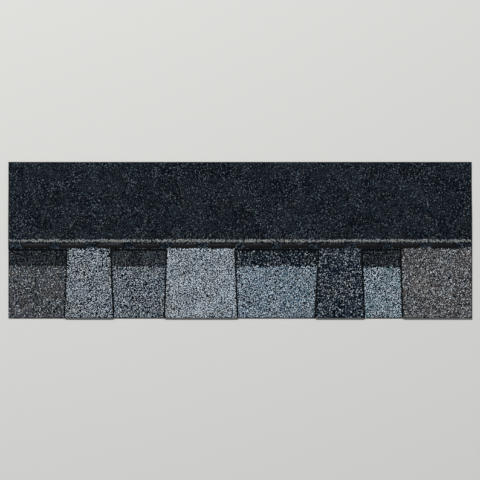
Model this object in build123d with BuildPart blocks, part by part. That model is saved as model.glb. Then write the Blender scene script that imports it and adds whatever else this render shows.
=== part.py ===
from build123d import *
import math
import os

# A laminated asphalt shingle, lying face up on a level floor. A toothed top ply is bonded
# to a plain backing ply along its lower part, and the single ply above it settles to the floor.
# Sizes are in millimetres: X runs along the shingle, Y up the roof and Z out of its face.
# The origin is under the middle of the shingle, and heights are measured up from the butt edge.

# Plies
ply_thickness = 2.5
exposure = 143
headlap = 51
cutout_overrun = 5
bond_width = 27
drape_radius = 900

# Recesses and teeth in order from the left end, each measured half way up its sides
recess_1_width = 125
tooth_1_width = 98
recess_2_width = 117
tooth_2_width = 151
recess_3_width = 176
tooth_3_width = 98
recess_4_width = 85
tooth_4_width = 150
root_fillet = 2

# How far each side leans out of its tooth between the root and the butt edge, from the left
side_leans = [6, 6, 5, 6, 8, 6, -4]

# Laminating adhesive: flattened beads across the teeth, and one along the bond above them
bead_width = 9
bead_thickness = 0.3
bead_inset = 8
first_bead_height = 12
tooth_bead_rows = 4

# Self-seal dashes on the face, between the recesses and the nail line
dash_length = 60
dash_width = 10
dash_height = 0.8
dash_gap = 20
dash_round = 0.5
dash_clearance = 2

# Release film on the underside of the single ply, past the backing ply's top edge
film_width = 20
film_thickness = 0.1
film_clearance = 2

# Sizes that follow from those above
cut_margin = 3 * root_fillet
cutout_depth = exposure + cutout_overrun
backer_height = cutout_depth + bond_width
shingle_height = 2 * exposure + headlap
tab_widths = [
    recess_1_width, tooth_1_width, recess_2_width, tooth_2_width,
    recess_3_width, tooth_3_width, recess_4_width, tooth_4_width,
]
shingle_length = sum(tab_widths)
left_end = -shingle_length / 2
butt_edge = -shingle_height / 2
top_ply_lift = ply_thickness + bead_thickness
face_level = top_ply_lift + ply_thickness
drape_start = backer_height + film_width + 2 * film_clearance
drape_angle = math.degrees(math.acos(1 - top_ply_lift / (2 * drape_radius)))


def side_x(side, height):
    """Give the X of a side at a height above the butt edge, where side 0 is the left end."""
    x = left_end + sum(tab_widths[:side])
    if side in (0, len(tab_widths)):
        return x
    lean = side_leans[side - 1] * (0.5 - height / cutout_depth)
    tooth_is_right_of_side = side % 2 == 1
    return x - lean if tooth_is_right_of_side else x + lean


def recess_corners(recess):
    """Give the corners of a recess, run past the butt edge and, at the end, past the end."""
    left_overrun = cut_margin if recess == 0 else 0
    return [
        (side_x(recess, -cut_margin) - left_overrun, butt_edge - cut_margin),
        (side_x(recess + 1, -cut_margin), butt_edge - cut_margin),
        (side_x(recess + 1, cutout_depth), butt_edge + cutout_depth),
        (side_x(recess, cutout_depth) - left_overrun, butt_edge + cutout_depth),
    ]


recesses = range(0, len(tab_widths), 2)
teeth = range(1, len(tab_widths), 2)

# Top ply: its side view, level over the backing ply and then eased down to the floor in two
# equal arcs, is drawn along its underside and thickened upwards
with BuildPart() as top_ply:
    with BuildSketch(Plane.YZ):
        with BuildLine():
            bonded = Line((butt_edge, top_ply_lift), (butt_edge + drape_start, top_ply_lift))
            fall = JernArc(bonded @ 1, bonded % 1, drape_radius, -drape_angle)
            settle = JernArc(fall @ 1, fall % 1, drape_radius, drape_angle)
            Line(settle @ 1, (butt_edge + shingle_height, 0))
            offset(amount=ply_thickness, side=Side.LEFT)
        make_face()
    extrude(amount=shingle_length / 2, both=True)
    with BuildSketch(Plane.XY.offset(top_ply_lift)) as cutouts:
        for recess in recesses:
            with BuildLine():
                Polyline(*recess_corners(recess), close=True)
            make_face()
        fillet(cutouts.vertices().group_by(Axis.Y)[-1], radius=root_fillet)
    extrude(amount=2 * ply_thickness, both=True, mode=Mode.SUBTRACT)

# Backing ply: a plain strip under the teeth and the bond above them
with BuildPart() as backer_ply:
    with BuildSketch():
        with Locations((0, butt_edge)):
            Rectangle(shingle_length, backer_height, align=(Align.CENTER, Align.MIN))
    extrude(amount=ply_thickness)

# Laminating adhesive: each tooth's beads keep clear of its leaning sides
with BuildPart() as laminating_adhesive:
    with BuildSketch(Plane.XY.offset(ply_thickness)):
        for tooth in teeth:
            for row in range(tooth_bead_rows):
                height = first_bead_height + row * (cutout_depth - first_bead_height) / tooth_bead_rows
                bead_start = side_x(tooth, height) + bead_inset
                bead_end = side_x(tooth + 1, height) - bead_inset
                with Locations(((bead_start + bead_end) / 2, butt_edge + height)):
                    SlotOverall(bead_end - bead_start, bead_width)
        with Locations((0, butt_edge + cutout_depth + bond_width / 2)):
            SlotOverall(shingle_length - 2 * bead_inset, bead_width)
    extrude(amount=bead_thickness)

# Self-seal dashes: as many as the length holds, centred, with their upper edges rounded
dash_pitch = dash_length + dash_gap
dash_count = int((shingle_length + dash_gap) // dash_pitch)
with BuildPart() as sealant_strip:
    with BuildSketch(Plane.XY.offset(face_level)):
        with Locations((0, butt_edge + cutout_depth + dash_clearance + dash_width / 2)):
            with GridLocations(dash_pitch, 0, dash_count, 1):
                SlotOverall(dash_length, dash_width)
    extrude(amount=dash_height)
    fillet(sealant_strip.edges().group_by(Axis.Z)[-1], radius=dash_round)

# Release film: flat on the single ply's underside, before the ply starts to settle
with BuildPart() as release_film:
    with BuildSketch(Plane.XY.offset(top_ply_lift - film_thickness)):
        with Locations((0, butt_edge + backer_height + film_clearance)):
            Rectangle(shingle_length, film_width, align=(Align.CENTER, Align.MIN))
    extrude(amount=film_thickness)

pieces = {
    "top_ply": top_ply,
    "backer_ply": backer_ply,
    "laminating_adhesive": laminating_adhesive,
    "sealant_strip": sealant_strip,
    "release_film": release_film,
}
os.makedirs("parts", exist_ok=True)
for name, piece in pieces.items():
    piece.part.label = name
    export_step(piece.part, f"parts/{name}.step")
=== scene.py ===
import math

import bpy
import numpy as np
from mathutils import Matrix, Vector
from mathutils.bvhtree import BVHTree


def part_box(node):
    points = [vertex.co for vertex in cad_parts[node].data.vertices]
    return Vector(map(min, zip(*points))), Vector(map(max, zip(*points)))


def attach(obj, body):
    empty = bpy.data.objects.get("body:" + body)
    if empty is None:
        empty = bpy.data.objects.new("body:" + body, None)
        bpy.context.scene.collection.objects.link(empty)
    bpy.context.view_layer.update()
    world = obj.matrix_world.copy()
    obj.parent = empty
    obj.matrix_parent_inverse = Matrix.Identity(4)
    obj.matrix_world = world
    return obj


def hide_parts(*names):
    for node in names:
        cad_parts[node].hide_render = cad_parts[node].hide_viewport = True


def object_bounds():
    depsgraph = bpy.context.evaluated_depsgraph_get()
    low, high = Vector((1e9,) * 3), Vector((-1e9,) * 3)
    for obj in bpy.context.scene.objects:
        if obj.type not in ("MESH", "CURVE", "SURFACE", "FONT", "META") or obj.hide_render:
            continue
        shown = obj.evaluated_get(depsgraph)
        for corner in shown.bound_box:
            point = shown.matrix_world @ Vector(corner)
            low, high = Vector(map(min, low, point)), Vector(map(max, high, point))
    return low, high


# A laminated asphalt shingle seen from straight above. The two plies, the adhesive between them
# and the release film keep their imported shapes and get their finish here. The mineral granules
# are modelled one by one, and joined into one piece for each kind of stone on the teeth, in the
# recesses and on the headlap. Uneven self-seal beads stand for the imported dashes.
# Lengths are in metres. The shingle lies along X, and +Y runs from its butt edge up the roof.

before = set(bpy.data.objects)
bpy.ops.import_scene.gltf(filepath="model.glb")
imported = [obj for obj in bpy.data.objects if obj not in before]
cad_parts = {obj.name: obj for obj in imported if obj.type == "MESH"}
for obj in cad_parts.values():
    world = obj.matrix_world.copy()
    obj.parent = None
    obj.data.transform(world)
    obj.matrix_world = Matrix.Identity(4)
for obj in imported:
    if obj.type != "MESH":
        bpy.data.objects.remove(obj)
cad_low, cad_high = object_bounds()

MM = 0.001
SEED = 41


def srgb(red, green, blue):
    """Turn a colour as it is seen, from 0 to 255, into the linear colour that shaders take."""
    parts = []
    for part in (red, green, blue):
        share = part / 255
        parts.append(share / 12.92 if share <= 0.04045 else ((share + 0.055) / 1.055) ** 2.4)
    return (*parts, 1.0)


# The stones that the granules are crushed from, with their coating
STONES = {
    "frost": srgb(206, 216, 223),
    "ice": srgb(202, 215, 226),
    "ash": srgb(151, 163, 173),
    "slate": srgb(90, 119, 144),
    "lichen": srgb(98, 133, 141),
    "pewter": srgb(99, 111, 122),
    "umber": srgb(92, 88, 89),
    "tan": srgb(151, 146, 140),
    "charcoal": srgb(43, 53, 62),
    "coal": srgb(2, 12, 23),
    "soot": srgb(9, 12, 16),
}
BLACK_STONES = ("coal", "soot")

# How shiny stones are, how far the chips of one kind differ in shade, their grit, slow drift and
# gloss, and the paint of the nail line
STONE_SHEEN = 0.10
BLACK_SHEEN = 0.06
STONE_SPREAD = 0.22
STONE_GRIT = 0.14
STONE_DRIFT = (0.93, 1.07)
STONE_GLOSS = (0.64, 0.92)
GLOSS_SHUFFLE = 37.0
COOL_TINT = (0.97, 1.0, 1.03, 1)
WARM_TINT = (1.03, 1.0, 0.97, 1)
NAIL_PAINT = srgb(150, 153, 152)
PAINT_SPREAD = 0.2
PAINT_GRIT = 0.3

# Each blend's share of each stone
BLENDS = {
    "bark": {
        "frost": 0.04, "ash": 0.045, "pewter": 0.135, "umber": 0.22, "tan": 0.035, "charcoal": 0.085,
        "soot": 0.44,
    },
    "brown": {
        "frost": 0.08, "ash": 0.04, "pewter": 0.03, "umber": 0.305, "tan": 0.11, "charcoal": 0.02,
        "coal": 0.415,
    },
    "grey": {
        "frost": 0.225, "ash": 0.11, "slate": 0.01, "lichen": 0.005, "pewter": 0.06, "charcoal": 0.035,
        "coal": 0.555,
    },
    "iron": {
        "frost": 0.18, "ash": 0.08, "slate": 0.03, "lichen": 0.01, "pewter": 0.085, "umber": 0.005,
        "charcoal": 0.045, "coal": 0.565,
    },
    "frost": {
        "frost": 0.345, "ash": 0.15, "slate": 0.015, "lichen": 0.005, "pewter": 0.045, "charcoal": 0.025,
        "coal": 0.415,
    },
    "blue": {"ice": 0.25, "ash": 0.04, "slate": 0.19, "lichen": 0.05, "coal": 0.47},
    "night": {
        "frost": 0.055, "ash": 0.045, "slate": 0.025, "pewter": 0.06, "charcoal": 0.13, "coal": 0.685,
    },
    "teal": {"ice": 0.285, "ash": 0.025, "slate": 0.045, "lichen": 0.105, "coal": 0.54},
    "dusk": {"ash": 0.01, "pewter": 0.09, "umber": 0.09, "tan": 0.01, "charcoal": 0.195, "soot": 0.605},
    "gloom": {"ash": 0.01, "pewter": 0.07, "umber": 0.085, "charcoal": 0.185, "soot": 0.65},
    "shadow": {
        "frost": 0.035, "ash": 0.03, "slate": 0.02, "pewter": 0.04, "umber": 0.03, "charcoal": 0.10,
        "coal": 0.745,
    },
    "headlap": {"pewter": 0.06, "umber": 0.02, "charcoal": 0.40, "coal": 0.52},
}

# The stones of each blend that gather in patches, and how strongly
PATCH_STONES = {
    "bark": {"umber": 1.0, "tan": 1.0},
    "brown": {"umber": 1.0, "tan": 1.0},
    "grey": {"ash": 0.5, "pewter": 0.7},
    "iron": {"ash": 0.5, "pewter": 0.7},
    "frost": {"coal": 0.5, "slate": 1.0},
    "blue": {"slate": 0.8, "lichen": 1.0},
    "night": {"pewter": 1.0, "charcoal": 1.0},
    "teal": {"lichen": 1.8, "slate": 1.8},
    "dusk": {"umber": 1.0, "pewter": 1.0},
    "gloom": {"umber": 1.0, "pewter": 1.0},
    "shadow": {"umber": 1.0, "slate": 1.0},
    "headlap": {"charcoal": 1.0, "pewter": 1.0},
}
PATCH_CELL = 26 * MM

# Neighbours in one square share their blend out between them, apart from a loose share of them
MIX_CELL = 3.3 * MM
LOOSE_SHARE = 0.25

# The blend of each recess and tooth, from the left
TAB_BLENDS = ("bark", "grey", "iron", "frost", "blue", "night", "teal", "brown")

# The dark band at the top of each recess: its blend, its depth below the recess's root and how
# far its lower edge is ragged
SHADOW_BANDS = (
    ("gloom", 36.0 * MM, 0.9 * MM),
    ("dusk", 37.5 * MM, 0.9 * MM),
    ("shadow", 37.0 * MM, 2.4 * MM),
    ("gloom", 38.5 * MM, 0.5 * MM),
)

# Heights above the butt edge: where the tabs' blends end, and the painted nail line
BLEND_TOP = 151 * MM
BLEND_RAGGED = 2.0 * MM
NAIL_LINE = 167 * MM
NAIL_LINE_WIDTH = 5.5 * MM
NAIL_LINE_COVER = 0.78

# How far apart granules are scattered, the bare groove beside a tooth and the least room of one.
# The groove's black coating is partly the bare cut edge and partly stands in for the tooth's side shade.
EXPOSED_SPACING = 1.65 * MM
HEADLAP_SPACING = 2.15 * MM
SPACING_JITTER = 0.26
BARE_GROOVE_AND_SHADE = 2.0 * MM
SMALLEST_CHIP = 0.34 * MM

# A chip has three foot corners and three top ones. Its rise and its corners' reach are shares of
# its size, and the levels of its top corners are shares of its rise.
CHIP_CORNERS = 6
CHIP_SIZE = (1.0 * MM, 1.62 * MM)
CHIP_RISE = (0.26, 0.64)
CHIP_SINK = 0.22 * MM
FOOT_REACH = (0.95, 1.35)
TOP_REACH = (0.45, 0.80)
TOP_LEVEL = (0.72, 1.15)
CORNER_TURN = 0.35

# Where a chip and its underside start in their square of the map, and how wide each is. The
# underside is the second of a chip's faces.
CHIP_MAP = (0.04, 0.76)
UNDERSIDE_MAP = (0.84, 0.12)
UNDERSIDE = 1

# The noises: features in a metre, detail and roughness, and how they are stretched along X, Y and
# Z. Most of a noise's values lie in the span.
NOISES = {
    "drift": (28, 2.0, 0.5),
    "tint": (17, 2.0, 0.5),
    "grit": (2600, 2.0, 0.6),
    "pits": (5200, 2.0, 0.6),
    "waver": (60, 3.0, 0.5),
    "streaks": (420, 4.0, 0.65),
    "fibres": (1500, 3.0, 0.7),
    "crumbs": (1100, 2.0, 0.6),
    "fines": (1300, 3.0, 0.7),
    "sand": (1900, 2.0, 0.65),
    "blotches": (22, 4.0, 0.6),
    "smears": (300, 3.0, 0.5),
    "strings": (160, 3.0, 0.6),
    "wrinkles": (90, 5.0, 0.65),
    "crinkles": (520, 3.0, 0.6),
    "dust": (700, 4.0, 0.7),
    "dents": (500, 3.0, 0.6),
}
STRETCHES = {
    "streaks": (0.25, 0.25, 2.2),
    "fibres": (0.3, 0.3, 1.5),
    "strings": (0.4, 1.5, 1.0),
    "wrinkles": (0.35, 1.6, 1.0),
    "crinkles": (0.25, 1.3, 1.0),
}
NOISE_SPAN = (0.3, 0.7)

# Layers of a ply's cut side, as shares of its thickness from the back: the glass mat and how far
# it shows above and below, the stone crumbs, the sand, and how much the layers waver. The plies
# are less shiny than the stones.
MAT_LEVEL = 0.42
MAT_REACH = (0.04, 0.13)
CRUMB_LAYER = (0.72, 0.92)
SAND_LAYER = (0.14, 0.04)
LAYER_WAVER = (-0.07, 0.07)
PLY_SHEEN = 0.08

# Asphalt, glass mat, sand and film, and between which of its noise's values the sand thickens
TAR = srgb(14, 14, 16)
SCUFFED_TAR = srgb(46, 46, 49)
BARE_TAR = srgb(20, 20, 22)
GLASS_MAT = srgb(128, 120, 106)
STONE_CRUMBS = srgb(104, 108, 112)
CUT_SAND = srgb(112, 104, 94)
COATING = srgb(5, 7, 9)
COATING_FINES = srgb(20, 24, 28)
SAND_GAPS = srgb(30, 30, 31)
SAND = srgb(124, 118, 109)
SAND_COVER = (0.4, 0.66)
THIN_SAND = srgb(84, 81, 77)
ADHESIVE = srgb(16, 16, 18)
ADHESIVE_DUST = srgb(38, 38, 40)
FILM = srgb(70, 71, 73)
FILM_SHADE = srgb(26, 26, 28)
FILM_SAND = srgb(70, 68, 65)
FILM_HAZE_AND_HIGHLIGHT = srgb(132, 133, 136)
SEAL = srgb(17, 17, 19)
SEAL_SHADE = srgb(12, 12, 14)
SEAL_DUST = srgb(50, 50, 52)

# Self-seal beads: faces along and across, sink below the face, how square their ends and dome
# are, and how uneven they are as shares of their width and height
BEAD_SEED = 7
BEAD_STEPS = (56, 12)
BEAD_SINK = 0.1 * MM
BEAD_LENGTH = (0.97, 1.0)
BEAD_ENDS = (7, 0.5)
BEAD_DOME = (2.6, 0.7)
BEAD_WAVES = 5
BEAD_WAVE_PITCH = 2.1
BEAD_WAVINESS = 0.05
BEAD_DRIFT = 0.02
BEAD_RIPPLE = 0.09
BEAD_GRAIN = 0.05

# The studio. Each lamp has a place, a size, a power and a colour, and looks at the shingle.
LAMPS = {
    "key": ((-2.0, 4.6, 6.0), 0.9, 620, (1.0, 0.996, 0.99)),
    "fill": ((1.8, -1.6, 3.2), 2.6, 10, (0.93, 0.96, 1.0)),
}
SKY = (0.9, 0.95, 1.0, 1)
SKY_STRENGTH = 0.17
FLOOR = srgb(214, 213, 210)
FLOOR_SIZE = 12
FLOOR_DROP = 0.05 * MM
VIEW_WIDTH = 1.035
CAMERA_LENS = 100
SENSOR = 36


def tree_of(node):
    """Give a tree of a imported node's faces, for casting rays at it."""
    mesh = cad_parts[node].data
    points = [vertex.co for vertex in mesh.vertices]
    return BVHTree.FromPolygons(points, [face.vertices for face in mesh.polygons])


def height_at(tree, x, y):
    """Give the height of a ply's face at a place, or None where the ply is cut away."""
    hit = tree.ray_cast(Vector((x, y, 1)), Vector((0, 0, -1)))[0]
    return hit.z if hit else None


class Shingle:
    """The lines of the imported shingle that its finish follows, measured on the frame."""

    STEP = 0.25 * MM
    PROFILE_STEP = 1 * MM
    PROFILE_MARGIN = 0.1 * MM
    ROOT_PROBE = 20 * MM
    LINE_SHARES = (0.05, 0.95)

    def __init__(self):
        tree = tree_of("top_ply")
        self.low, self.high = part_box("top_ply")
        self.backer_low, self.backer_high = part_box("backer_ply")
        self.butt = self.low.y
        self.root = self.find_root(tree)
        depth = self.root - self.butt
        self.line_heights = [self.butt + depth * share for share in self.LINE_SHARES]
        self.sides = [self.find_sides(tree, y) for y in self.line_heights]
        tooth_x = (self.sides[0][0] + self.sides[0][1]) / 2
        count = int((self.high.y - self.low.y) / self.PROFILE_STEP)
        first, last = self.low.y + self.PROFILE_MARGIN, self.high.y - self.PROFILE_MARGIN
        self.profile_y = np.linspace(first, last, count)
        self.profile_z = np.array([height_at(tree, tooth_x, y) for y in self.profile_y])

    def find_root(self, tree):
        """Find the height where the recess at the left end stops."""
        x = self.low.x + self.ROOT_PROBE
        y = self.low.y
        while height_at(tree, x, y) is None:
            y += self.STEP
        return y

    def find_sides(self, tree, y):
        """Find where recesses and teeth meet along the shingle, at one height."""
        xs = np.arange(self.low.x + self.STEP, self.high.x, self.STEP)
        solid = np.array([height_at(tree, x, y) is not None for x in xs])
        turns = np.flatnonzero(solid[1:] != solid[:-1])
        return (xs[turns] + xs[turns + 1]) / 2

    def side_lines(self, y):
        """Give the X of every side at each of the heights y: a row for each height."""
        low, high = self.line_heights
        share = ((y - low) / (high - low))[:, None]
        return self.sides[0][None] * (1 - share) + self.sides[1][None] * share

    def face_z(self, y):
        """Give the height of the top ply's face at each y."""
        return np.interp(y, self.profile_y, self.profile_z)


def put(name, data):
    """Put a new object in the scene."""
    thing = bpy.data.objects.new(name, data)
    bpy.context.scene.collection.objects.link(thing)
    return thing


def scatter(low, high, spacing, rng):
    """Give points on a rectangle in staggered rows, each moved a little at random."""
    row_gap = spacing * math.sqrt(0.75)
    columns = int((high[0] - low[0]) / spacing) + 1
    rows = int((high[1] - low[1]) / row_gap) + 1
    row, column = np.mgrid[0:rows, 0:columns]
    x = low[0] + (column + 0.5 * (row % 2)) * spacing
    y = low[1] + row * row_gap
    points = np.stack([x.ravel(), y.ravel()], axis=1)
    points += rng.uniform(-SPACING_JITTER, SPACING_JITTER, points.shape) * spacing
    inside = (points > low).all(1) & (points < high).all(1)
    return points[inside]


def patches(points, cell, rng):
    """Give a smooth random value from -1 to 1 at each point, in patches of one cell's size."""
    low = points.min(0)
    place = (points - low) / cell
    corner = place.astype(int)
    part = place - corner
    part = part * part * (3 - 2 * part)
    grid = rng.uniform(-1, 1, corner.max(0) + 2)
    value = 0
    for step_x in (0, 1):
        for step_y in (0, 1):
            weight_x = part[:, 0] if step_x else 1 - part[:, 0]
            weight_y = part[:, 1] if step_y else 1 - part[:, 1]
            value = value + weight_x * weight_y * grid[corner[:, 0] + step_x, corner[:, 1] + step_y]
    return value


def mixed_draws(points, rng):
    """Give each granule a draw from 0 to 1. The few granules of each small square share the
    range out between them, because a well mixed blend has no clumps."""
    square = np.floor(points / MIX_CELL).astype(int)
    order = np.lexsort((rng.uniform(0, 1, len(points)), square[:, 1], square[:, 0]))
    ordered = square[order]
    starts = np.flatnonzero(np.append(True, (ordered[1:] != ordered[:-1]).any(1)))
    counts = np.diff(np.append(starts, len(points)))
    rank = np.arange(len(points)) - np.repeat(starts, counts)
    draws = np.empty(len(points))
    draws[order] = (rank + rng.uniform(0, 1, len(points))) / np.repeat(counts, counts)
    loose = rng.uniform(0, 1, len(points)) < LOOSE_SHARE
    return np.where(loose, rng.uniform(0, 1, len(points)), draws)


def choose_stones(points, blend, rng):
    """Choose each granule's stone from its blend, with some of the stones gathered in patches."""
    names = list(STONES)
    shares = np.array([BLENDS[blend].get(name, 0) for name in names])
    weights = np.repeat(shares[None], len(points), axis=0)
    for stone, gain in PATCH_STONES[blend].items():
        weights[:, names.index(stone)] *= np.exp(gain * patches(points, PATCH_CELL, rng))
    ladder = np.cumsum(weights, axis=1)
    draw = mixed_draws(points, rng) * ladder[:, -1]
    return (draw[:, None] > ladder).sum(1)


def chips(points, room, rng):
    """Give the corners and faces of one crushed chip at each point: a small uneven triangle
    over a larger one that is turned half way past it and sunk in the coating."""
    count = len(points)
    size = np.minimum(rng.uniform(*CHIP_SIZE, count), room / FOOT_REACH[1])
    rise = size * rng.uniform(*CHIP_RISE, count)
    turn = rng.uniform(0, math.tau, count)
    corners = np.empty((count, CHIP_CORNERS, 3))
    for corner in range(CHIP_CORNERS):
        on_top = corner >= 3
        step = corner + (0.5 if on_top else 0)
        angle = turn + step * math.tau / 3 + rng.uniform(-CORNER_TURN, CORNER_TURN, count)
        reach = size * rng.uniform(*(TOP_REACH if on_top else FOOT_REACH), count)
        level = rise * rng.uniform(*TOP_LEVEL, count) if on_top else -CHIP_SINK
        corners[:, corner, 0] = points[:, 0] + reach * np.cos(angle)
        corners[:, corner, 1] = points[:, 1] + reach * np.sin(angle)
        corners[:, corner, 2] = points[:, 2] + level
    faces = [(3, 4, 5), (0, 2, 1)]  # the top, and the underside
    for corner in range(3):
        after = (corner + 1) % 3
        faces.append((corner, after, corner + 3))
        faces.append((corner + 3, after, after + 3))
    first = np.arange(count)[:, None, None] * CHIP_CORNERS
    return corners, first + np.array(faces)[None]


def granule_piece(name, points, room, material, rng):
    """Make one piece of many chips, each with its own random shade."""
    corners, faces = chips(points, room, rng)
    mesh = bpy.data.meshes.new(name)
    mesh.vertices.add(corners.size // 3)
    mesh.vertices.foreach_set("co", corners.astype(np.float32).ravel())
    mesh.loops.add(faces.size)
    mesh.loops.foreach_set("vertex_index", faces.astype(np.int32).ravel())
    mesh.polygons.add(faces.size // 3)
    mesh.polygons.foreach_set("loop_start", np.arange(0, faces.size, 3, dtype=np.int32))
    mesh.update(calc_edges=True)
    mesh.shade_flat()
    shade = mesh.attributes.new("chip_shade", "FLOAT", "POINT")
    shades = np.repeat(rng.uniform(0, 1, len(points)), CHIP_CORNERS)
    shade.data.foreach_set("value", shades.astype(np.float32))
    lay_chip_map(mesh, corners, faces)
    mesh.materials.append(material)
    piece = put(name, mesh)
    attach(piece, "root")


def lay_chip_map(mesh, corners, faces):
    """Give each chip its own square of the piece's map, with the chip laid out as it is seen
    from above and its hidden underside small in the square's corner."""
    count = len(corners)
    side = math.ceil(math.sqrt(count))
    low = corners[:, :, :2].min(1, keepdims=True)
    span = (corners[:, :, :2].max(1, keepdims=True) - low).max(2, keepdims=True)
    flat = (corners[:, :, :2] - low) / span
    number = np.arange(count)
    square = np.stack([number % side, number // side], axis=1)[:, None, None]
    places = flat[number[:, None, None], faces % CHIP_CORNERS]
    underside = np.arange(faces.shape[1])[None, :, None, None] == UNDERSIDE
    start = np.where(underside, UNDERSIDE_MAP[0], CHIP_MAP[0])
    width = np.where(underside, UNDERSIDE_MAP[1], CHIP_MAP[1])
    places = start + width * places
    layer = mesh.uv_layers.new(name="OFBake")
    layer.uv.foreach_set("vector", ((square + places) / side).astype(np.float32).ravel())


def node_group(name, inputs):
    """Start a shader node group with its named inputs, and give it with its start node."""
    group = bpy.data.node_groups.new(name, "ShaderNodeTree")
    for label, kind, value in inputs:
        socket = group.interface.new_socket(label, in_out="INPUT", socket_type=kind)
        socket.default_value = value
    return group, group.nodes.new("NodeGroupInput")


def end_group(group, results):
    """Give a group a named output for each of its results."""
    for label in results:
        kind = "NodeSocketColor" if label == "Colour" else "NodeSocketFloat"
        group.interface.new_socket(label, in_out="OUTPUT", socket_type=kind)
    add(group, "NodeGroupOutput", results)


def add(tree, kind, inputs=None, **settings):
    """Add a node, set its settings, and set or link its inputs."""
    node = tree.nodes.new(kind)
    for label, value in settings.items():
        setattr(node, label, value)
    for label, value in (inputs or {}).items():
        if isinstance(value, bpy.types.NodeSocket):
            tree.links.new(value, node.inputs[label])
        else:
            node.inputs[label].default_value = value
    return node


def mix(tree, share, first, second):
    """Mix two colours by a share of the second."""
    return add(tree, "ShaderNodeMix", {0: share, 6: first, 7: second}, data_type="RGBA").outputs[2]


def maths(tree, operation, first, second=0.0):
    """Give the result of a sum on one or two values."""
    return add(tree, "ShaderNodeMath", {0: first, 1: second}, operation=operation).outputs[0]


def ramp(tree, value, low, high, to_low=0.0, to_high=1.0, interpolation="LINEAR"):
    """Map a value between two limits, held at the ends."""
    limits = {"Value": value, "From Min": low, "From Max": high, "To Min": to_low, "To Max": to_high}
    return add(tree, "ShaderNodeMapRange", limits, interpolation_type=interpolation).outputs[0]


def vary(tree, value, low, high, spread):
    """Map a value between two limits to one minus and one plus a spread."""
    least = maths(tree, "SUBTRACT", 1.0, spread)
    most = maths(tree, "ADD", 1.0, spread)
    return ramp(tree, value, low, high, least, most)


def noise(tree, name):
    """Give the value of a named noise over the object's own coordinates."""
    scale, detail, roughness = NOISES[name]
    place = add(tree, "ShaderNodeTexCoord").outputs["Object"]
    if name in STRETCHES:
        place = add(tree, "ShaderNodeMapping", {"Vector": place, "Scale": STRETCHES[name]}).outputs[0]
    inputs = {"Vector": place, "Scale": scale, "Detail": detail, "Roughness": roughness}
    return add(tree, "ShaderNodeTexNoise", inputs).outputs["Fac"]


def make_stone_tone():
    """Shared by every stone: each chip's own shade and gloss, a slow drift, and the dust and
    pits of its crushed surface."""
    group, start = node_group("stone tone", [
        ("Colour", "NodeSocketColor", STONES["ash"]),
        ("Spread", "NodeSocketFloat", STONE_SPREAD),
        ("Grit", "NodeSocketFloat", STONE_GRIT),
    ])
    shade = add(group, "ShaderNodeAttribute", attribute_name="chip_shade").outputs["Fac"]
    own = vary(group, shade, 0.0, 1.0, start.outputs["Spread"])
    drift = ramp(group, noise(group, "drift"), *NOISE_SPAN, *STONE_DRIFT)
    grit = noise(group, "grit")
    worn = vary(group, grit, *NOISE_SPAN, start.outputs["Grit"])
    level = maths(group, "MULTIPLY", maths(group, "MULTIPLY", own, drift), worn)
    tint = mix(group, ramp(group, noise(group, "tint"), *NOISE_SPAN), COOL_TINT, WARM_TINT)
    tinted = add(group, "ShaderNodeVectorMath", {0: start.outputs["Colour"], 1: tint}, operation="MULTIPLY")
    scaled = add(group, "ShaderNodeVectorMath", {0: tinted.outputs[0], "Scale": level}, operation="SCALE")

    # Some chips broke along a smooth, glassy face and others are dull all over
    glassy = maths(group, "FRACT", maths(group, "MULTIPLY", shade, GLOSS_SHUFFLE))
    gloss = ramp(group, glassy, 0.0, 1.0, *STONE_GLOSS)
    dusty = maths(group, "MULTIPLY", maths(group, "SUBTRACT", grit, 0.5), 0.5)
    dull = maths(group, "ADD", gloss, dusty)
    pits = ramp(group, noise(group, "pits"), *NOISE_SPAN, 0.0, 0.4)
    relief = maths(group, "ADD", grit, pits)
    end_group(group, {"Colour": scaled.outputs[0], "Roughness": dull, "Height": relief})
    return group


def make_parting_sand():
    """Shared by the backs of the plies and the film over them: grains of sand pressed into
    black asphalt."""
    group, start = node_group("parting sand", [
        ("Gaps", "NodeSocketColor", SAND_GAPS),
        ("Sand", "NodeSocketColor", SAND),
    ])
    grains = noise(group, "sand")
    colour = mix(group, ramp(group, grains, *SAND_COVER), start.outputs["Gaps"], start.outputs["Sand"])
    end_group(group, {"Colour": colour, "Height": grains})
    return group


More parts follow.
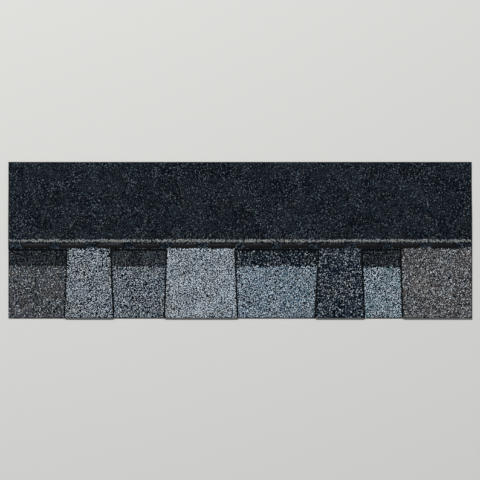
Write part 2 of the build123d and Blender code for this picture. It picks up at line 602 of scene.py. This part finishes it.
def make_ply_skin(sand):
    """Shared by both plies: black coating on the face, cut layers on the sides and parting
    sand on the back, told apart by which way the surface looks."""
    group, start = node_group("ply skin", [
        ("Lift", "NodeSocketFloat", 0.0),
        ("Settle Start", "NodeSocketFloat", 0.0),
        ("Settle End", "NodeSocketFloat", 1.0),
        ("Thickness", "NodeSocketFloat", 2.5 * MM),
    ])
    surface = add(group, "ShaderNodeNewGeometry")
    facing = add(group, "ShaderNodeSeparateXYZ", {"Vector": surface.outputs["True Normal"]}).outputs["Z"]
    place = add(group, "ShaderNodeSeparateXYZ", {"Vector": surface.outputs["Position"]})
    on_back = ramp(group, facing, -0.6, -0.8)
    on_face = ramp(group, facing, 0.6, 0.8)

    # How deep a point of a cut side lies in the ply, from 0 at the back to 1 at the face
    lift = ramp(
        group, place.outputs["Y"], start.outputs["Settle Start"], start.outputs["Settle End"],
        start.outputs["Lift"], 0.0, "SMOOTHSTEP",
    )
    depth = maths(group, "SUBTRACT", place.outputs["Z"], lift)
    share = maths(group, "DIVIDE", depth, start.outputs["Thickness"])
    waver = ramp(group, noise(group, "waver"), *NOISE_SPAN, *LAYER_WAVER)
    share = maths(group, "ADD", share, waver)

    # Cut sides: streaked asphalt, a pale line of glass mat, crumbs of stone above, sand below
    streaks = noise(group, "streaks")
    cut = mix(group, ramp(group, streaks, 0.35, 0.7), TAR, SCUFFED_TAR)
    from_mat = maths(group, "ABSOLUTE", maths(group, "SUBTRACT", share, MAT_LEVEL))
    mat_band = ramp(group, from_mat, *MAT_REACH, 1.0, 0.0)
    fibres = ramp(group, noise(group, "fibres"), 0.42, 0.62)
    cut = mix(group, maths(group, "MULTIPLY", mat_band, fibres), cut, GLASS_MAT)
    crumbs = ramp(group, noise(group, "crumbs"), 0.52, 0.6)
    upper = ramp(group, share, *CRUMB_LAYER)
    cut = mix(group, maths(group, "MULTIPLY", upper, crumbs), cut, STONE_CRUMBS)
    lowest = ramp(group, share, *SAND_LAYER)
    sanded = maths(group, "MULTIPLY", lowest, ramp(group, crumbs, 0.0, 1.0, 0.3, 0.9))
    cut = mix(group, sanded, cut, CUT_SAND)

    # The face between the granules, and the sand on the back, thinner in blotches
    fines = noise(group, "fines")
    face = mix(group, ramp(group, fines, 0.5, 0.72), COATING, COATING_FINES)
    full = add(group, "ShaderNodeGroup", {"Gaps": SAND_GAPS, "Sand": SAND}, node_tree=sand)
    grains = full.outputs["Height"]
    blotches = noise(group, "blotches")
    thin = mix(group, ramp(group, grains, 0.5, 0.7), BARE_TAR, THIN_SAND)
    back = mix(group, ramp(group, blotches, 0.4, 0.85), full.outputs["Colour"], thin)

    colour = mix(group, on_back, mix(group, on_face, cut, face), back)
    gloss = ramp(group, fines, 0.4, 0.7, 0.55, 0.9)
    fuzz = maths(group, "MULTIPLY", fibres, 0.3)
    sides = maths(group, "ADD", maths(group, "MULTIPLY", streaks, 0.6), fuzz)
    relief = maths(group, "ADD", maths(group, "MULTIPLY", grains, on_back), sides)
    end_group(group, {"Colour": colour, "Roughness": gloss, "Height": relief})
    return group


def plain_material(name, colour, roughness=0.5, **sockets):
    """Make a material with its Principled shader, and give both with the node tree."""
    material = bpy.data.materials.new(name)
    material.use_nodes = True
    tree = material.node_tree
    shader = tree.nodes["Principled BSDF"]
    shader.inputs["Base Color"].default_value = colour
    shader.inputs["Roughness"].default_value = roughness
    for label, value in sockets.items():
        shader.inputs[label.replace("_", " ")].default_value = value
    return material, tree, shader


def wire(tree, shader, colour, roughness, height, strength, distance):
    """Lead a colour, a roughness and a height that change over the surface to the shader."""
    tree.links.new(colour, shader.inputs["Base Color"])
    tree.links.new(roughness, shader.inputs["Roughness"])
    bump = add(tree, "ShaderNodeBump", {"Height": height, "Strength": strength, "Distance": distance})
    tree.links.new(bump.outputs[0], shader.inputs["Normal"])


def grouped_material(name, colour, sheen, group, inputs, strength, distance):
    """Make a material whose colour, roughness and relief come from a shared group."""
    material, tree, shader = plain_material(name, colour, Specular_IOR_Level=sheen)
    node = add(tree, "ShaderNodeGroup", inputs, node_tree=group)
    results = [node.outputs[label] for label in ("Colour", "Roughness", "Height")]
    wire(tree, shader, *results, strength=strength, distance=distance)
    return material


def stone_material(name, colour, tone, spread=STONE_SPREAD, grit=STONE_GRIT, sheen=STONE_SHEEN):
    """Finish one kind of stone."""
    inputs = {"Colour": colour, "Spread": spread, "Grit": grit}
    return grouped_material(name, colour, sheen, tone, inputs, strength=0.6, distance=0.12 * MM)


def dress(node, material):
    """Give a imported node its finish."""
    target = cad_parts[node]
    target.data.materials.clear()
    target.data.materials.append(material)


def finish_plies(shingle, sand):
    """Dress both plies. The top one is lifted by the backing ply and settles behind it."""
    skin = make_ply_skin(sand)
    thickness = shingle.backer_high.z - shingle.backer_low.z
    drop = shingle.profile_z[0] - shingle.profile_z
    slack = 0.01 * MM
    settling = shingle.profile_y[(drop > slack) & (drop < drop.max() - slack)]
    inputs = {"Settle Start": settling[0], "Settle End": settling[-1], "Thickness": thickness}
    plies = (
        ("top_ply", "top ply coating", shingle.profile_z[0] - thickness),
        ("backer_ply", "backing ply coating", 0.0),
    )
    for node, name, lift in plies:
        inputs["Lift"] = lift
        material = grouped_material(
            name, BARE_TAR, PLY_SHEEN, skin, inputs, strength=0.5, distance=0.4 * MM
        )
        dress(node, material)


def finish_adhesive():
    """Dress the flattened beads between the plies."""
    material, tree, shader = plain_material("laminating asphalt", ADHESIVE)
    tone = mix(tree, ramp(tree, noise(tree, "smears"), 0.45, 0.7), TAR, ADHESIVE_DUST)
    strings = noise(tree, "strings")
    gloss = ramp(tree, strings, 0.35, 0.7, 0.22, 0.5)
    wire(tree, shader, tone, gloss, strings, strength=0.5, distance=0.3 * MM)
    dress("laminating_adhesive", material)


def finish_film(sand):
    """Dress the clear film on the back, which is finely wrinkled and lets the sand show.
    Its pale haze on the crinkles is partly a painted highlight.
    """
    material, tree, shader = plain_material(
        "release film", FILM, roughness=0.2, Coat_Weight=0.6, Coat_Roughness=0.08
    )
    wrinkles = noise(tree, "wrinkles")
    crinkles = noise(tree, "crinkles")
    # Pale where wrinkles and crinkles cross: partly the film's own haze, partly a painted highlight
    haze_and_highlight = maths(tree, "MULTIPLY", ramp(tree, wrinkles, 0.35, 0.75), ramp(tree, crinkles, 0.3, 0.7))
    under = add(tree, "ShaderNodeGroup", {"Gaps": FILM_SHADE, "Sand": FILM_SAND}, node_tree=sand)
    colour = mix(tree, haze_and_highlight, under.outputs["Colour"], FILM_HAZE_AND_HIGHLIGHT)
    gloss = ramp(tree, wrinkles, 0.3, 0.7, 0.14, 0.34)
    folds = maths(tree, "ADD", wrinkles, maths(tree, "MULTIPLY", crinkles, 0.35))
    wire(tree, shader, colour, gloss, folds, strength=0.6, distance=0.9 * MM)
    dress("release_film", material)


def blends_of(points, shingle, tab, rng):
    """Tell which blend each granule belongs to, by its tab and its height."""
    ragged = rng.uniform(-1, 1, len(points)) + patches(points, PATCH_CELL / 2, rng)
    blends = np.array(TAB_BLENDS)[tab]
    recess = tab % 2 == 0
    dark_blend, depth, edge = (np.array(part)[tab // 2] for part in zip(*SHADOW_BANDS))
    in_band = recess & (points[:, 1] > shingle.root - depth + edge * ragged)
    blends = np.where(in_band, dark_blend, blends)
    above = recess & (points[:, 1] > shingle.root)
    above |= points[:, 1] - shingle.butt > BLEND_TOP + BLEND_RAGGED * ragged
    return np.where(above, "headlap", blends)


def room_around(points, shingle, tab, lines):
    """Tell how far each granule may reach before it passes a cut edge of its ply."""
    x, y = points.T
    room = np.minimum.reduce([x - shingle.low.x, shingle.high.x - x, y - shingle.low.y, shingle.high.y - y])
    recess = tab % 2 == 0
    below_root = y < shingle.root
    to_side = np.abs(x[:, None] - lines).min(1)
    to_root = np.abs(y - shingle.root)
    # In a recess the granules keep clear of the tooth's side and root: a bare strip of black coating that
    # is partly the cut edge and partly stands in for the shade there
    bare_groove_and_shade = np.where(recess & below_root, BARE_GROOVE_AND_SHADE, 0)
    room = np.where(below_root, np.minimum(room, to_side - bare_groove_and_shade), room)
    return np.where(recess, np.minimum(room, to_root - bare_groove_and_shade), room)


def under_beads(points, beads):
    """Tell which granules the self-seal beads cover."""
    low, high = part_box("sealant_strip")
    in_line = (points[:, 1] > low.y + SMALLEST_CHIP) & (points[:, 1] < high.y - SMALLEST_CHIP)
    covered = np.zeros(len(points), bool)
    for bead_start, bead_end in beads:
        covered |= (points[:, 0] > bead_start + SMALLEST_CHIP) & (points[:, 0] < bead_end - SMALLEST_CHIP)
    return covered & in_line


def place_granules(shingle, low, high, spacing, beads, rng):
    """Place the granules of one band of the face: where each lies, how much room it has,
    which stone it is and whether it lies in a recess."""
    flat = scatter(low, high, spacing, rng)
    lines = shingle.side_lines(flat[:, 1])
    tab = (flat[:, 0, None] > lines).sum(1)
    room = room_around(flat, shingle, tab, lines)
    keep = (room > SMALLEST_CHIP) & ~under_beads(flat, beads)
    flat, tab, room = flat[keep], tab[keep], room[keep]
    in_recess = (tab % 2 == 0) & (flat[:, 1] < shingle.root)
    height = np.where(in_recess, shingle.backer_high.z, shingle.face_z(flat[:, 1]))
    blends = blends_of(flat, shingle, tab, rng)
    stones = np.zeros(len(flat), int)
    for name in BLENDS:
        chosen = blends == name
        if chosen.any():
            stones[chosen] = choose_stones(flat[chosen], name, rng)
    return np.column_stack([flat, height]), room, stones, in_recess


def stone_pieces(materials, zones, points, room, stones, rng):
    """Make a piece for each kind of stone in each zone where there is any of it."""
    for index, (name, material) in enumerate(materials.items()):
        for zone, slot, in_zone in zones:
            chosen = in_zone & (stones == index)
            if chosen.any():
                piece = f"{name}_granules_{zone}"
                granule_piece(piece, points[chosen], room[chosen], material, rng)


def coat_with_granules(shingle, beads):
    """Make the granule pieces: one for each stone on the teeth, in the recesses and on the
    headlap, and the painted nail line."""
    tone = make_stone_tone()
    materials = {}
    for name, colour in STONES.items():
        sheen = BLACK_SHEEN if name in BLACK_STONES else STONE_SHEEN
        materials[name] = stone_material(f"{name} stone", colour, tone, sheen=sheen)
    paint = stone_material("nail line paint", NAIL_PAINT, tone, PAINT_SPREAD, PAINT_GRIT)
    nail_y = shingle.butt + NAIL_LINE
    split = shingle.butt + BLEND_TOP + 2 * BLEND_RAGGED
    low, high = np.array(shingle.low)[:2], np.array(shingle.high)[:2]
    rng = np.random.default_rng(SEED)

    points, room, stones, in_recess = place_granules(
        shingle, low, (high[0], split), EXPOSED_SPACING, beads, rng
    )
    zones = (("teeth", "overlay_granules", ~in_recess), ("recesses", "backer_granules", in_recess))
    stone_pieces(materials, zones, points, room, stones, rng)

    points, room, stones, _ = place_granules(
        shingle, (low[0], split), high, HEADLAP_SPACING, beads, rng
    )
    painted = np.abs(points[:, 1] - nail_y) < NAIL_LINE_WIDTH / 2
    painted &= rng.uniform(0, 1, len(points)) < NAIL_LINE_COVER
    zones = (("headlap", "overlay_granules", ~painted),)
    stone_pieces(materials, zones, points, room, stones, rng)
    granule_piece("nail_line_granules", points[painted], room[painted], paint, rng)


def fall_off(share, powers):
    """Give a curve that is 1 in the middle and falls to 0 where the share is -1 or 1."""
    return np.power(np.clip(1 - np.abs(share) ** powers[0], 0, 1), powers[1])


def bead_mesh(centre, length, width, height, rng):
    """Give the corners and faces of one self-seal bead: a low dome with uneven, blunt ends."""
    along, across = BEAD_STEPS
    t = np.linspace(-1, 1, along + 1)
    s = np.linspace(-1, 1, across + 1)
    size, phase = rng.uniform(-1, 1, (2, BEAD_WAVES))
    waves = sum(
        size[k] * np.sin((k + 1) * BEAD_WAVE_PITCH * t + 3 * phase[k]) / (k + 2)
        for k in range(BEAD_WAVES)
    )
    blunt = fall_off(t, BEAD_ENDS)
    half = width / 2 * blunt * (1 + BEAD_WAVINESS * waves)
    drift = BEAD_DRIFT * width * np.roll(waves, 9)
    x = centre[0] + np.repeat(t[:, None] * length / 2, across + 1, axis=1)
    y = centre[1] + drift[:, None] + half[:, None] * s[None]
    dome = fall_off(s, BEAD_DOME)[None] * blunt[:, None]
    ripple = 1 + BEAD_RIPPLE * np.sin(7 * t + 5 * size[1])[:, None]
    ripple = ripple + BEAD_GRAIN * rng.uniform(-1, 1, (along + 1, across + 1))
    z = centre[2] + height * dome * ripple
    top = np.stack([x, y, z], axis=2).reshape(-1, 3)
    bottom = top.copy()
    bottom[:, 2] = centre[2] - BEAD_SINK
    faces = []
    row = across + 1
    layer = len(top)
    for i in range(along):
        for j in range(across):
            a, b = i * row + j, (i + 1) * row + j
            faces.append((a, b, b + 1, a + 1))
            faces.append((a + layer, a + 1 + layer, b + 1 + layer, b + layer))
    rim = [i * row for i in range(along + 1)] + [along * row + j for j in range(1, row)]
    rim += [i * row + across for i in range(along - 1, -1, -1)] + [j for j in range(across - 1, 0, -1)]
    for a, b in zip(rim, rim[1:] + rim[:1]):
        faces.append((b, a, a + layer, b + layer))
    return np.concatenate([top, bottom]), faces


def find_beads():
    """Find where each packed self-seal dash starts and ends along the shingle."""
    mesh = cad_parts["sealant_strip"].data
    places = [[mesh.vertices[index].co.x for index in face.vertices] for face in mesh.polygons]
    beads = []
    for first, last in sorted((min(xs), max(xs)) for xs in places):
        if beads and first <= beads[-1][1]:
            beads[-1][1] = max(beads[-1][1], last)
        else:
            beads.append([first, last])
    return beads


def seal_material():
    """Finish the self-seal asphalt, with dust caught on it."""
    material, tree, shader = plain_material("self-seal asphalt", SEAL, Specular_IOR_Level=0.12)
    dust = ramp(tree, noise(tree, "dust"), 0.58, 0.78)
    tone = mix(tree, dust, SEAL_SHADE, SEAL_DUST)
    gloss = ramp(tree, dust, 0.0, 1.0, 0.46, 0.8)
    wire(tree, shader, tone, gloss, noise(tree, "dents"), strength=0.5, distance=0.3 * MM)
    return material


def make_sealant(beads):
    """Make the broken line of self-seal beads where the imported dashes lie."""
    low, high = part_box("sealant_strip")
    rng = np.random.default_rng((SEED, BEAD_SEED))
    corners, faces = [], []
    for start, end in beads:
        centre = ((start + end) / 2, (low.y + high.y) / 2, low.z)
        length = (end - start) * rng.uniform(*BEAD_LENGTH)
        more, rings = bead_mesh(centre, length, high.y - low.y, high.z - low.z, rng)
        base = sum(len(part) for part in corners)
        corners.append(more)
        faces += [tuple(base + index for index in ring) for ring in rings]
    mesh = bpy.data.meshes.new("sealant_beads")
    mesh.from_pydata(np.concatenate(corners).tolist(), [], faces)
    mesh.polygons.foreach_set("use_smooth", [True] * len(mesh.polygons))
    mesh.materials.append(seal_material())
    piece = put("sealant_beads", mesh)
    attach(piece, "root")
    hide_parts("sealant_strip")


def make_floor():
    """Lay a plain pale floor under the shingle."""
    mesh = bpy.data.meshes.new("floor")
    half = FLOOR_SIZE / 2
    corners = [(-half, -half, 0), (half, -half, 0), (half, half, 0), (-half, half, 0)]
    mesh.from_pydata(corners, [], [(0, 1, 2, 3)])
    mesh.materials.append(plain_material("floor", FLOOR, roughness=0.9)[0])
    floor = put("floor", mesh)
    floor.location.z = -FLOOR_DROP


def light_studio():
    """Light from up the roof and a little left, with a soft fill all round."""
    for name, (place, size, power, colour) in LAMPS.items():
        light = bpy.data.lights.new(name, "AREA")
        light.shape = "DISK"
        light.size = size
        light.energy = power
        light.color = colour
        lamp = put(name, light)
        lamp.location = place
        lamp.rotation_euler = (-Vector(place)).to_track_quat("-Z", "Y").to_euler()
    world = bpy.data.worlds.new("studio")
    bpy.context.scene.world = world
    world.use_nodes = True
    background = world.node_tree.nodes["Background"]
    background.inputs["Color"].default_value = SKY
    background.inputs["Strength"].default_value = SKY_STRENGTH


def aim_camera():
    """Look straight down on the shingle, with its butt edge at the bottom of the picture."""
    camera = bpy.data.cameras.new("camera")
    camera.lens = CAMERA_LENS
    camera.sensor_width = SENSOR
    holder = put("camera", camera)
    middle = (cad_low + cad_high) / 2
    holder.location = (middle.x, middle.y, cad_high.z + VIEW_WIDTH * CAMERA_LENS / SENSOR)
    bpy.context.scene.camera = holder
    bpy.context.scene.view_settings.view_transform = "Standard"


shingle = Shingle()
sand = make_parting_sand()
finish_plies(shingle, sand)
finish_adhesive()
finish_film(sand)
beads = find_beads()
coat_with_granules(shingle, beads)
make_sealant(beads)
make_floor()
light_studio()
aim_camera()
